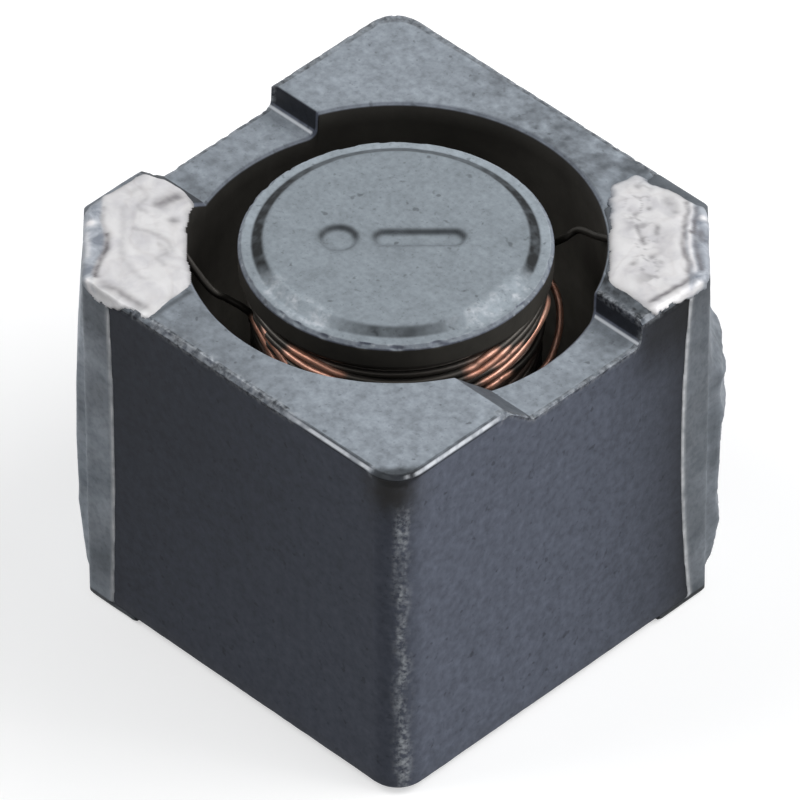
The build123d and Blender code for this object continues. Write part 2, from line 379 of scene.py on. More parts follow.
CORNER_RADIUS = 0.85
EDGE_BREAK = 0.12
NOTCH_EDGE_BREAK = 0.035
BORE_EDGE_BREAK = 0.1
NOTCH_DEPTH = 0.7
NOTCH_STEP = 1.95
NOTCH_ROOT = 0.26
ROOT_STEPS = 12
RISER_LEAN = 0.004
RISER_SHARE = 0.23
RISER_HEAD = 0.05
RAMP_HEAD = 2.5
RAMP_FOOT = 1.65
COLUMN_STEP = 0.058
CLIP_COLUMN_STEP = 0.3
CORNER_STEPS = 26
SHARED_WIDTH = 2.6
SHEET = 0.2
LUG_EDGE = 3.55
TAB_START = 2.62
LUG_START = 3.72
COVER_GAP = 0.06
TOP_ROWS = 42
CHAMFER_ROW = 36
SIDE_ROWS = 30
CHAMFER_ROWS = (0.0, 0.16, 0.36, 0.64, 0.84, 1.0)
NEAR_EDGE = (1.0, 0.8, 0.62, 0.47, 0.35, 0.25, 0.17, 0.11, 0.06, 0.025)


def between(knots, steps):
    """Points along the lines between knots, with a number of steps for each line."""
    points = [knots[0]]
    for (x0, y0), (x1, y1), count in zip(knots, knots[1:], steps):
        points += [(x0 + (x1 - x0) * k / count, y0 + (y1 - y0) * k / count) for k in range(1, count + 1)]
    return points


def notched_wall(low, high):
    """Places along a notched wall and the heights of its top there, from low to high."""
    floor = ring_top - NOTCH_DEPTH
    knots = [(low, ring_top), (-RAMP_HEAD, ring_top), (-RAMP_FOOT, floor), (NOTCH_STEP - NOTCH_ROOT, floor)]
    for k in range(1, ROOT_STEPS + 1):
        angle = math.radians(90.0 * k / ROOT_STEPS)
        back = NOTCH_ROOT * (1 - math.sin(angle))
        knots.append((NOTCH_STEP - back, floor + NOTCH_ROOT * (1 - math.cos(angle))))
    riser = NOTCH_DEPTH - NOTCH_ROOT
    for k in range(1, 5):
        knots.append((NOTCH_STEP + RISER_LEAN * k, floor + NOTCH_ROOT + riser * RISER_SHARE * k))
    knots += [(NOTCH_STEP + RISER_HEAD, ring_top), (high, ring_top)]
    return between(knots, [max(1, round((b[0] - a[0]) / COLUMN_STEP)) for a, b in zip(knots, knots[1:])])


def ring_columns():
    """Columns round the ring, anticlockwise: outer point, outward direction and height of the top."""
    arc = half_side - CORNER_RADIUS
    cut = (leg_reach - SHEET) * ROOT_TWO - half_side
    columns = []

    def straight(start, end, direction, step):
        run = np.array(end) - np.array(start)
        count = max(1, round(float(np.hypot(*run)) / step))
        for k in range(count):
            columns.append((*(np.array(start) + run * k / count), *direction, ring_top))

    def bend(centre, first):
        for k in range(CORNER_STEPS):
            angle = math.radians(first + 90.0 * k / CORNER_STEPS)
            away = np.array((math.cos(angle), math.sin(angle)))
            columns.append((*(np.array(centre) + CORNER_RADIUS * away), *away, ring_top))

    straight((half_side, cut), (cut, half_side), (SLANT, SLANT), CLIP_COLUMN_STEP)
    straight((cut, half_side), (-arc, half_side), (0.0, 1.0), COLUMN_STEP)
    bend((-arc, arc), 90.0)
    columns.extend((-half_side, y, -1.0, 0.0, z) for y, z in notched_wall(-cut, arc)[:0:-1])
    straight((-half_side, -cut), (-cut, -half_side), (-SLANT, -SLANT), CLIP_COLUMN_STEP)
    straight((-cut, -half_side), (arc, -half_side), (0.0, -1.0), COLUMN_STEP)
    bend((arc, -arc), 270.0)
    columns.extend((half_side, y, 1.0, 0.0, z) for y, z in notched_wall(-arc, cut)[:-1])
    return np.array(columns)


def bore_places(columns, radius):
    """Each column's point on a circle round the axis; notched columns keep their place along the wall."""
    outer = columns[:, :2]
    on_wall = np.abs(columns[:, 2]) == 1.0
    gaps = np.linalg.norm(np.diff(outer, axis=0, append=outer[:1]), axis=1)
    run = np.r_[0.0, np.cumsum(gaps)[:-1]]
    corner = math.degrees(math.asin(SHARED_WIDTH / radius))
    knots = []
    for x, y, angle in ((1, 1, 45.0), (-1, 1, 135.0), (-1, SHARED_WIDTH, 180.0 - corner),
                        (-1, -SHARED_WIDTH, 180.0 + corner), (-1, -1, 225.0), (1, -1, 315.0),
                        (1, -SHARED_WIDTH, 360.0 - corner), (1, SHARED_WIDTH, 360.0 + corner)):
        if abs(y) > 1:
            score = np.where((outer[:, 0] * x > 0) & on_wall, np.abs(outer[:, 1] - y), 99)
        else:
            score = -(outer[:, 0] * x + outer[:, 1] * y)
        knots.append((run[int(np.argmin(score))], angle))
    round_all = run[-1] + gaps[-1]
    knots.append((knots[0][0] + round_all, 405.0))
    knot_runs, knot_angles = zip(*knots)
    wrapped = np.where(run < knot_runs[0], run + round_all, run)
    angle = np.radians(np.interp(wrapped, knot_runs, knot_angles))
    places = radius * np.c_[np.cos(angle), np.sin(angle)]
    shared = on_wall & (np.abs(outer[:, 1]) <= SHARED_WIDTH)
    places[shared, 1] = outer[shared, 1]
    places[shared, 0] = columns[shared, 2] * np.sqrt(radius ** 2 - outer[shared, 1] ** 2)
    return places


def ring_rows(columns):
    """The ring's rows of points from its underside, up the side, over the top and down the bore.
    Each comes with how near it is to the outer top edge."""
    outer, away, top = columns[:, :2], columns[:, 2:4], columns[:, 4]
    lowered = unit((ring_top - top) / 0.1)
    edge = EDGE_BREAK + (NOTCH_EDGE_BREAK - EDGE_BREAK) * lowered
    bore = bore_places(columns, bore_radius)
    lip = bore_places(columns, bore_radius + BORE_EDGE_BREAK)
    rows = []
    marks = []

    def put(plan, height, mark=0.0):
        rows.append(np.c_[plan, np.broadcast_to(height, len(plan))])
        marks.append(mark)

    foot = outer - away * EDGE_BREAK
    for w in np.linspace(0.0, 1.0, 6):
        put(lip + (foot - lip) * w, ring_bottom)
    low = ring_bottom + EDGE_BREAK
    high = top - edge
    for w in np.linspace(0.0, 1.0, 20, endpoint=False):
        put(outer, low + (high - NEAR_EDGE[0] - low) * w)
    for drop in NEAR_EDGE:
        put(outer, high - drop, max(0.0, 1.0 - drop / 0.15))
    for w in CHAMFER_ROWS:
        put(outer - away * (edge * w)[:, None], high + edge * w, 1.0)
    inner_edge = outer - away * edge[:, None]
    for k in range(1, TOP_ROWS):
        w = 0.6 * k / TOP_ROWS + 0.2 * (1 - math.cos(math.pi * k / TOP_ROWS))
        put(inner_edge + (lip - inner_edge) * w, top, max(0.0, 1.0 - w * 9.0))
    for w in (0.0, 0.35, 0.7, 1.0):
        put(lip + (bore - lip) * w, top - BORE_EDGE_BREAK * w)
    for w in np.linspace(0.05, 1.0, 13):
        put(bore, top - BORE_EDGE_BREAK + (ring_bottom + BORE_EDGE_BREAK - top + BORE_EDGE_BREAK) * w)
    return np.array(rows), np.array(marks)


def sink(piece, depth):
    """Moves a piece's points inwards along their normals, inside the CAD box."""
    mesh = piece.data
    points = np.array([v.co for v in mesh.vertices], float) / MM
    normals = np.array([n.vector for n in mesh.vertex_normals], float)
    moved = inside_box(points - normals * depth[:, None])
    mesh.vertices.foreach_set("co", (moved * MM).ravel())
    mesh.update()


def under_clips(points):
    """Finds the points under a clip's tab and lugs, and draws them in to stay hidden."""
    plan = np.abs(points[:, :2])
    start = np.where(points[:, 2] > ring_top - 0.25, TAB_START, LUG_START)
    covered = (points[:, 0] * points[:, 1] > 0) & (plan.min(axis=1) > start)
    held = np.minimum(plan, half_side - COVER_GAP)
    over = np.maximum(0.0, held.sum(axis=1) - (leg_reach - SHEET - COVER_GAP) * ROOT_TWO) / 2
    held = np.sign(points[:, :2]) * (held - over[:, None])
    points[covered, :2] = held[covered]
    points[covered, 2] = np.minimum(points[covered, 2], ring_top - COVER_GAP)
    return covered


def build_ring():
    columns = ring_columns()
    rows, marks = ring_rows(columns)
    count = len(columns)
    points = rows.reshape(-1, 3)
    x, y, z = points.T
    edge = np.repeat(marks, count)
    wall = np.tile(columns[:, 2:4], (len(rows), 1))
    wall_top = np.tile(columns[:, 4], len(rows))
    coarse = grain(points, 0.55, 3.1)
    fine = grain(points, 0.2, 11.7)
    line = np.repeat(np.arange(len(rows)), count) - CHAMFER_ROW
    across = (x + y) / ROOT_TWO
    front = np.degrees(np.arctan2(wall[:, 1], wall[:, 0])) + 45.0

    # Regions
    bore = np.hypot(x, y) < bore_radius + 0.01
    on_top = (z > wall_top - 0.005) & ~bore
    on_side = (line >= -SIDE_ROWS) & (line <= 0)
    left_facing = wall[:, 1] == -1.0
    right_facing = wall[:, 0] == 1.0
    notched = np.abs(wall[:, 0]) == 1.0
    riser = notched & (wall_top < ring_top - 0.005) & (y > NOTCH_STEP - 0.03)
    ramp = notched & (y > -RAMP_HEAD) & (y < -RAMP_FOOT)
    root = notched & (y > NOTCH_STEP - 0.105) & (y < NOTCH_STEP - 0.07)
    block = right_facing & (y > NOTCH_STEP) & (y < 2.8) & (z > ring_top - 0.15)
    front_corner = (wall[:, 0] > 0) & (wall[:, 1] < 0)
    on_left = left_facing * smooth_step(x, 2.2, 3.4) * fade(x, 5.1, 5.3)
    on_right = right_facing * smooth_step(y, -5.6, -5.4) * fade(y, -2.9, -2.65)
    on_right += front_corner * smooth_step(front, 29.0, 36.0)
    crisp = np.minimum(1.0, on_left + on_right)

    # Walls: painted shade, darker next to the lugs and high up under the +X notch's end, the -Y wall darker
    # than the +X one, and a soft painted turn of shade round the front corner
    right_wall = 1 - 0.86 * inward(LUG_EDGE - y, 1.75)
    right_wall *= 1 - 0.8 * smooth_step(z, 7.4, 9.2) * smooth_step(y, 1.2, 2.4)
    left_wall = 1 - 0.45 * inward(x + LUG_EDGE, 4.0)
    left_wall *= 0.84 - 0.2 * fade(x, -4.0, 5.0) * (0.3 + 0.07 * z)
    left_wall *= 0.87 - 0.27 * smooth_step(z, 1.0, 8.0) * (1 - 0.65 * smooth_step(x, 0.0, 5.0))
    tone = np.where(on_side & right_facing, right_wall, 1.0)
    tone = np.where(on_side & left_facing, left_wall, tone)
    tone = np.where(on_side & front_corner, 0.74 + 0.24 * smooth_step(front, -30.0, 25.0), tone)

    # Top: patchy towards the clips, painted shade on the notches' risers and sloping ends, dark beside the +X
    # +Y pad
    patchy = 1 - smooth_step(np.abs(across), 2.5, 6.0) * (0.22 + 0.35 * coarse)
    rubbed = smooth_step(across, 1.0, 3.0) * smooth_step(y, 4.2, 5.2)
    patchy *= 1 - rubbed * (0.2 + 0.3 * coarse + 0.25 * fine)
    patchy *= 1 - 0.14 * smooth_step(-across, 1.5, 3.0) * smooth_step(-y, 3.0, 4.5)
    tone = np.where(on_top, np.clip(patchy, 0.35, 1.15), tone)
    tone = np.where(on_top & riser, 0.15, tone)
    tone = np.where(on_top & ramp, np.where(x > 0, 0.38, 0.16), tone)
    tone = np.where(on_top & block, np.clip(0.2 + 0.3 * fine + 0.12 * coarse, 0.07, 0.6), tone)

    # Edges: rough and worn, but for a crisp stretch of chamfer each side of the front corner,
    # which has painted shade on the rows beside its painted highlight
    worn = (edge > 0.3) & (crisp < 0.1) & ~front_corner
    tone = np.where(worn, np.clip(tone * (0.6 + 0.5 * fine), 0.15, 1.1), tone)
    beside_shine = np.isin(line, (-1, 0, 1, 4, 5, 6))
    tone *= 1 - 0.62 * crisp * beside_shine * np.clip(0.9 + 0.6 * fine, 0.3, 1.0)

    # Front corner: scorched round its tip and dirty below it
    corner = np.array([half_side - 0.42, -half_side + 0.22, ring_top - 0.5])
    patch = bell(np.linalg.norm((points - corner) / np.array([0.6, 0.6, 0.65]), axis=1), 1.0)
    # The dark coat: painted shade over the whole bore, and dirty below the front corner
    dirt = np.maximum(bore, np.clip(0.95 * patch * (1 + 0.4 * fine), 0.0, 0.82) * on_side)
    apex = half_side - CORNER_RADIUS * (1 - SLANT)
    from_apex = np.hypot(x - apex, y + apex)
    scorch = fade(from_apex + 0.14 * coarse + 0.1 * fine - 0.36 * edge, 0.08, 0.5)
    tone *= 1 - 0.75 * scorch * (z > ring_top - 0.3)
    tone *= 1 - 0.5 * unit(patch) * on_side
    tone *= 1 - 0.38 * front_corner * (1 - crisp) * ((line >= 0) & (line <= 5))

    # Bore: painted shade, as dark near its lip as deep down; the -X -Y pad leaves a painted shadow line on
    # the top
    bore_tone = (0.5 + 0.22 * (ring_top - z) ** 2) * (1 + 0.06 * across)
    tone = np.where(bore, np.clip(bore_tone, 0.4, 4.8), tone)
    tone *= 1 - 0.6 * bell(x + 2.12, 0.07) * smooth_step(-y, 4.4, 4.7) * on_top

    # Worn places, and painted highlights with a smoother finish on the chamfer's crisp stretches and the
    # notches' roots
    strip = bell(front - 8.0, 12.0) * front_corner * smooth_step(ring_top - z, 0.8, 1.3)
    clumps = np.clip(0.75 + 1.6 * grain(points, 0.22, 27.1), 0.0, 1.5)
    rough_edge = unit(edge * (1 - crisp)) * ~bore * ~front_corner
    burr = unit(1 - np.abs(y + half_side) / 0.42) * (on_top & left_facing) * (1 - crisp)
    wear = 0.9 * strip * clumps + 0.5 * rough_edge + 0.55 * burr * unit(0.5 + 0.9 * fine)
    wear += 0.6 * (on_top & block) * bell(y - NOTCH_STEP - 0.08, 0.07)
    shine = unit(1.15 * on_left + 0.86 * on_right) * np.clip(0.85 + 0.6 * coarse + 0.8 * fine, 0.4, 1.0)
    shine += 0.45 * bell(front - 17.5, 4.0) * front_corner
    polish = unit(shine * np.isin(line, (2, 3)) + 0.8 * (on_top & root))

    covered = under_clips(points)
    piece = add_piece("ring_core", points, strip_quads(len(rows), count), ferrite, "ferrite",
                      tone=tone, wear=unit(wear), polish=polish, dirt=dirt)
    chips = smooth_step(grain(points, 0.3, 5.5), 0.0, 0.6) * edge * (1 - 0.85 * crisp)
    depth = 0.006 * (1 + coarse) + 0.025 * chips + 0.02 * on_side * (edge < 0.9)
    sink(piece, np.where(covered, 0.0, depth))
    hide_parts("shield_ring")


# Drum core: a fine lathe with a bevelled plateau and the sunk mark

DRUM_SEGMENTS = 420
MIDDLE_HOLE = 0.02
PLATEAU_RISE = 0.15
PLATEAU_SLOPE = 0.3
RIM_LAND = 0.31
RIM_EDGE = 0.09
UNDERSIDE_EDGE = 0.04
BASE_EDGE = 0.15
MARK_DEPTH = 0.08
MARK_WALL = 0.16
MARK_DOT_PLACE = -1.35
MARK_DOT_RADIUS = 0.42
MARK_BAR_PLACE = 0.55
MARK_BAR_HALF = 0.8
MARK_BAR_RADIUS = 0.25


def drum_profile():
    """The drum's outline from the top's middle to the bottom's, as radius and height."""
    rim_top = drum_top - PLATEAU_RISE
    foot = flange_radius - RIM_LAND
    corners = [
        (MIDDLE_HOLE, drum_top, 0.05),
        (foot - PLATEAU_SLOPE, drum_top, 0.025),
        (foot, rim_top, 0.025),
        (flange_radius - RIM_EDGE, rim_top, 0.025),
        (flange_radius, rim_top - RIM_EDGE, 0.05),
        (flange_radius, flange_underside + UNDERSIDE_EDGE, 0.04),
        (flange_radius - UNDERSIDE_EDGE, flange_underside, 0.3),
        (post_radius, flange_underside, 0.5),
        (post_radius, base_top, 0.4),
        (base_radius, base_top, 0.3),
        (base_radius, drum_bottom + BASE_EDGE, 0.12),
        (base_radius - BASE_EDGE, drum_bottom, 0.3),
        (MIDDLE_HOLE, drum_bottom, 0.3),
    ]
    steps = [max(1, round(math.dist(a[:2], b[:2]) / a[2])) for a, b in zip(corners, corners[1:])]
    return np.array(between([c[:2] for c in corners], steps))


def mark_distance(points):
    """Distance outside the dot and the bar at each point of the plateau."""
    along = (points[:, 0] + points[:, 1]) / ROOT_TWO
    across = (points[:, 1] - points[:, 0]) / ROOT_TWO
    dot = np.hypot(along - MARK_DOT_PLACE, across) - MARK_DOT_RADIUS
    beyond = np.maximum(np.abs(along - MARK_BAR_PLACE) - MARK_BAR_HALF, 0.0)
    return np.minimum(dot, np.hypot(beyond, across) - MARK_BAR_RADIUS)


def from_front(turns):
    """Angles in degrees from the front corner, towards +X +Y."""
    return np.degrees(np.angle(np.exp(1j * (turns + math.pi / 4))))


def build_drum():
    profile = drum_profile()
    rings = len(profile)
    radius, height = np.repeat(profile, DRUM_SEGMENTS, axis=0).T
    turn = np.tile(np.linspace(0.0, 2 * math.pi, DRUM_SEGMENTS, endpoint=False), rings)
    points = np.c_[radius * np.cos(turn), radius * np.sin(turn), height]
    coarse = grain(points, 0.6, 5.3)
    fine = grain(points, 0.22, 8.9)
    plateau = height > drum_top - 0.005
    outside = mark_distance(points)
    sunk = smooth_step(-outside, -MARK_WALL / 2, MARK_WALL / 2)
    points[:, 2] -= np.where(plateau, MARK_DEPTH * sunk, 0.0)

    # Bevel: a painted shade in front, a bright speckled painted highlight beside that, painted shade round
    # the sides;
    # the rim land is lighter towards the sides and back
    foot = flange_radius - RIM_LAND
    upper = height > drum_top - PLATEAU_RISE - RIM_EDGE - 0.005
    front = np.abs(from_front(turn)) + 5.0 * coarse
    slope = smooth_step(radius, foot - PLATEAU_SLOPE - 0.02, foot - PLATEAU_SLOPE + 0.08)
    slope *= fade(radius, foot - 0.05, foot + 0.02)
    zone = smooth_step(radius, foot - 0.55, foot - 0.25) * fade(radius, foot + 0.05, foot + 0.28)
    bright = zone * smooth_step(front, 20, 36) * fade(front, 58, 72)
    smudge = 0.72 * fade(front, 10, 32) * (0.8 + 0.5 * coarse)
    side_arc = 0.95 * smooth_step(front, 62, 76) * (1 - 0.35 * smooth_step(front, 120, 155))
    tone = 1 - slope * (smudge + side_arc * np.clip(0.95 + 0.25 * fine, 0.6, 1.1)) + 0.3 * bright
    tone *= 1 + 0.3 * smooth_step(radius, foot - 0.02, foot + 0.04) * smooth_step(front, 60, 110)

    # Mark: painted shade on its walls, most on the far one
    across = (points[:, 1] - points[:, 0]) / ROOT_TWO
    tone *= 1 - bell(outside, 0.09) * plateau * (0.3 + 0.5 * smooth_step(across, -0.15, 0.15))
    tone *= 1 + 0.05 * coarse + 0.04 * fine
    # Below the top the drum gets painted shade: a flat lower tone here, and the dark coat where the piece is
    # added
    tone = np.where(upper, np.clip(tone, 0.05, 1.5), 0.75)

    # Rim: burred and nicked; the pale worn colour also paints the bevel's speckled highlight
    rim = smooth_step(radius, flange_radius - RIM_EDGE - 0.03, flange_radius - RIM_EDGE + 0.02) * upper
    burr = smooth_step(grain(points, 0.12, 1.9), 0.25, 0.6)
    wear = rim * (0.15 + 0.6 * burr) + 0.85 * bright * smooth_step(fine + 0.5 * coarse, -0.35, 0.35)
    nick = smooth_step(grain(points, 0.35, 21.3), 0.2, 0.7)
    points[:, :2] *= (1.0 - 0.008 * rim * nick)[:, None]
    points[:, 2] -= np.where(upper, 0.005 * (1 + coarse), 0.0) + 0.03 * rim * nick

    quads = strip_quads(rings, DRUM_SEGMENTS, False)[:, [0, 3, 2, 1]].tolist()
    quads.append(list(range(DRUM_SEGMENTS)))
    quads.append(list(range(rings * DRUM_SEGMENTS - 1, (rings - 1) * DRUM_SEGMENTS - 1, -1)))
    piece = add_piece("drum", inside_box(points), quads, drum_ferrite, "ferrite",
                      tone=tone, wear=unit(wear), polish=np.zeros(len(points)), dirt=~upper)
    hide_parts("drum_core")


# Winding: one fine wire wound in even turns, with a loose turn and two leads

WIRE_RADIUS = 0.09
COIL_SIDES = 8
WIRE_SIDES = 12
TURN_STEPS = 100
TURN_PITCH = 0.25
COIL_RADIUS = 3.52
BURIED = 0.07
# Faint painted light on the coil, and how light the leads' painted shade is
WARM = 0.12
LEAD_COAT = 0.2


def tube(path, radius, sides):
    """Points and quads of a round tube along a path, closed at its ends."""
    path = np.asarray(path, float)
    along = np.gradient(path, axis=0)
    along /= np.linalg.norm(along, axis=1)[:, None]
    side = np.cross(along, np.array([0.0, 0.0, 1.0]))
    flat = np.linalg.norm(side, axis=1) < 0.05
    side[flat] = np.cross(along[flat], np.array([1.0, 0.0, 0.0]))
    side /= np.linalg.norm(side, axis=1)[:, None]
    over = np.cross(side, along)
    turn = np.linspace(0.0, 2 * math.pi, sides, endpoint=False)
    ring = np.cos(turn)[None, :, None] * side[:, None, :] + np.sin(turn)[None, :, None] * over[:, None, :]
    points = (path[:, None, :] + radius * ring).reshape(-1, 3)
    quads = strip_quads(len(path), sides, False).tolist()
    quads.append(list(reversed(range(sides))))
    quads.append(list(range((len(path) - 1) * sides, len(path) * sides)))
    return points, quads


def build_coil():
    """The wound body: a sleeve of buried wire and the outer layer's helix,
    in painted shade with faint painted light to each side of the front.
    """
    turns = (flange_underside - base_top - 2 * WIRE_RADIUS) / TURN_PITCH
    steps = np.arange(int(turns * TURN_STEPS) + 1) / TURN_STEPS
    turn = steps * 2 * math.pi
    height = base_top + WIRE_RADIUS + steps * TURN_PITCH
    around = np.c_[np.cos(turn), np.sin(turn), height]
    radius = COIL_RADIUS - WIRE_RADIUS - BURIED + 0.02 * grain(around * np.array([1.0, 1.0, 4.0]), 0.8, 2.2)
    path = np.c_[radius * around[:, 0], radius * around[:, 1], height]
    points, quads = tube(path, WIRE_RADIUS, COIL_SIDES)
    quads += (strip_quads(4, TURN_STEPS) + len(points)).tolist()
    points = np.vstack([points, coil_sleeve()])
    # Faint painted light to each side of the front, fading deeper down
    front = from_front(np.arctan2(points[:, 1], points[:, 0]))
    lit = smooth_step(front, 24, 36) * fade(front, 84, 96)
    lit += smooth_step(-front, 20, 34) * fade(-front, 62, 74)
    lit *= smooth_step(points[:, 2], 6.8, 7.8)
    piece = add_piece("coil", points, quads, copper, "enamelled_copper",
                      clean=WARM * lit, coated=np.ones(len(points)))
    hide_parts("winding")


def coil_sleeve():
    """Points of a sleeve just under the outer layer."""
    outer = COIL_RADIUS - 1.6 * WIRE_RADIUS - BURIED
    angles = np.linspace(0.0, 2 * math.pi, TURN_STEPS, endpoint=False)
    profile = ((post_radius, base_top), (outer, base_top),
               (outer, flange_underside), (post_radius, flange_underside))
    return np.array([(r * math.cos(a), r * math.sin(a), z) for r, z in profile for a in angles])


def spline(controls, steps=14):
    """A smooth line through control points."""
    p = np.asarray(controls, float)
    p = np.vstack([2 * p[0] - p[1], p, 2 * p[-1] - p[-2]])
    line = []
    for k in range(1, len(p) - 2):
        for t in np.linspace(0.0, 1.0, steps, endpoint=False):
            a, b, c, d = p[k - 1:k + 3]
            line.append(0.5 * (2 * b + (c - a) * t + (2 * a - 5 * b + 4 * c - d) * t * t
                               + (3 * b - a - 3 * c + d) * t ** 3))
    line.append(p[-2])
    return np.array(line)


# Paths of the wires that show, as angle from the front corner towards +X +Y, radius and height.
# Each comes with the stretches where painted light makes it bright; elsewhere it is in painted shade.
LAST_TURNS = [
    ([(-95, 3.5, 8.95), (-60, 3.5, 8.86), (-44, 3.5, 8.82), (-33, 3.5, 8.79), (-21, 3.5, 8.67),
      (0, 3.5, 8.62), (28, 3.5, 8.66), (34, 3.5, 8.77), (41, 3.5, 8.86), (60, 3.5, 8.95), (95, 3.5, 9.0)],
     ((-45, -20, 1.0), (27, 42, 1.0))),
    ([(-95, 3.5, 8.72), (-60, 3.5, 8.62), (-47, 3.5, 8.58), (-35, 3.5, 8.5), (-24, 3.5, 8.48), (0, 3.5, 8.4),
      (29, 3.5, 8.44), (38, 3.5, 8.52), (47, 3.5, 8.67), (60, 3.5, 8.74), (95, 3.5, 8.8)],
     ((-48, -23, 1.0), (28, 48, 1.0))),
    ([(-95, 3.46, 8.4), (-40, 3.46, 8.25), (0, 3.46, 8.2), (41, 3.5, 8.36), (48, 3.5, 8.41), (55, 3.5, 8.46),
      (95, 3.46, 8.5)],
     ((40, 56, 0.5),)),
    ([(-95, 3.4, 8.85), (-75, 3.45, 8.82), (-62, 3.5, 8.66), (-52, 3.5, 8.42), (-44, 3.5, 8.19),
      (-20, 3.5, 8.0), (0, 3.5, 7.95), (35, 3.5, 8.09), (47, 3.5, 8.17), (60, 3.5, 8.27), (72, 3.56, 8.42),
      (83, 3.57, 8.4), (95, 3.5, 8.35)],
     ((-62, -43, 1.0), (34, 85, 1.0))),
]
LEAD = [(95, 3.4, 7.75), (70, 3.5, 7.8), (48, 3.5, 7.85), (44, 3.5, 7.87), (38, 3.5, 7.82), (0, 3.5, 7.7),
        (-30, 3.5, 7.78), (-52.5, 3.5, 8.01), (-61, 3.5, 8.29), (-71, 3.56, 8.62), (-73, 3.75, 8.86),
        (-75, 4.1, 9.12), (-76, 4.42, 9.36), (-83, 4.75, 9.6), (-88, 5.05, 9.84), (-90, 5.4, 9.86),
        (-90, 5.9, 9.86)]
LEAD_BRIGHT = ((-71, -51, 0.85), (37, 49, 0.85))
SLACK_TURN = [(155, 3.4, 7.6), (135, 3.55, 7.58), (111, 3.88, 7.52), (90, 3.86, 7.5), (77, 3.85, 7.5),
              (65, 3.88, 7.5), (49, 3.78, 7.52), (29, 3.5, 7.55), (11, 3.4, 7.6)]
SLACK_BRIGHT = ((60, 116, 0.8),)


def wire_path(stops, stretches):
    """A smooth path through stops, and the painted light along it: its stretches fade at their ends."""
    angles, radii, heights = spline(stops).T
    turns = np.radians(angles - 45.0)
    clean = np.zeros(len(angles))
    for first, last, shine in stretches:
        share = smooth_step(angles, first - 2, first + 3) * fade(angles, last - 3, last + 2)
        clean = np.maximum(clean, shine * share)
    return np.c_[radii * np.cos(turns), radii * np.sin(turns), heights], clean


def add_wire(name, path, clean, coated=1.0):
    points, quads = tube(path, WIRE_RADIUS, WIRE_SIDES)
    add_piece(name, points, quads, copper, "enamelled_copper",
              clean=np.repeat(clean, WIRE_SIDES), coated=np.full(len(points), coated))


def build_wires():
    """The last turns, the two leads up to the pads, and a slack turn that stands off the coil."""
    for number, (stops, stretches) in enumerate(LAST_TURNS, 1):
        add_wire(f"last_turn_{number}", *wire_path(stops, stretches))
    path, clean = wire_path(LEAD, LEAD_BRIGHT)
    # Painted light on the left lead only while it lies on the coil, none on the right lead; both are in
    # darker painted shade
    on_coil = fade(np.hypot(path[:, 0], path[:, 1]), 3.5, 3.7)
    add_wire("lead_left", path, clean * on_coil, LEAD_COAT)
    add_wire("lead_right", path * np.array([-1.0, -1.0, 1.0]), np.zeros(len(path)), LEAD_COAT)
    add_wire("slack_turn", *wire_path(SLACK_TURN, SLACK_BRIGHT))


# Clips: folded tin plate, with a lumpy skin of solder over the bowed straps

CLIP_VOXEL = 0.06
CLIP_WAVE = 0.016
SKIN_STEP = 0.06
SKIN_HALF_WIDTH = 1.3
SKIN_LOW = 0.3
SKIN_HIGH = 9.75
SKIN_SINK = 0.06
LUG_ROOT = 4.25
LUG_HEIGHTS = (0.0, 6.6, 10.0)
CAD_LUG_WIDTHS = (0.66, 0.92, 0.74)
BOW = 0.3
BOW_MIDDLE = 4.6
BOW_LOW = 0.7
BOW_HIGH = 9.3


def lug_width(heights, widths):
    """A lug's width at each height, by a smooth curve through three."""
    a, b, c = LUG_HEIGHTS
    p, q, r = widths
    low = p * (heights - b) * (heights - c) / ((a - b) * (a - c))
    middle = q * (heights - a) * (heights - c) / ((b - a) * (b - c))
    return low + middle + r * (heights - a) * (heights - b) / ((c - a) * (c - b))


def bow_share(heights, form):
    """How much of the strap's bow is left at each height: flatter all over, or only near the tab."""
    flatter, near_tab = form
    return flatter * (1 - near_tab * smooth_step(heights, 6.3, 7.3))


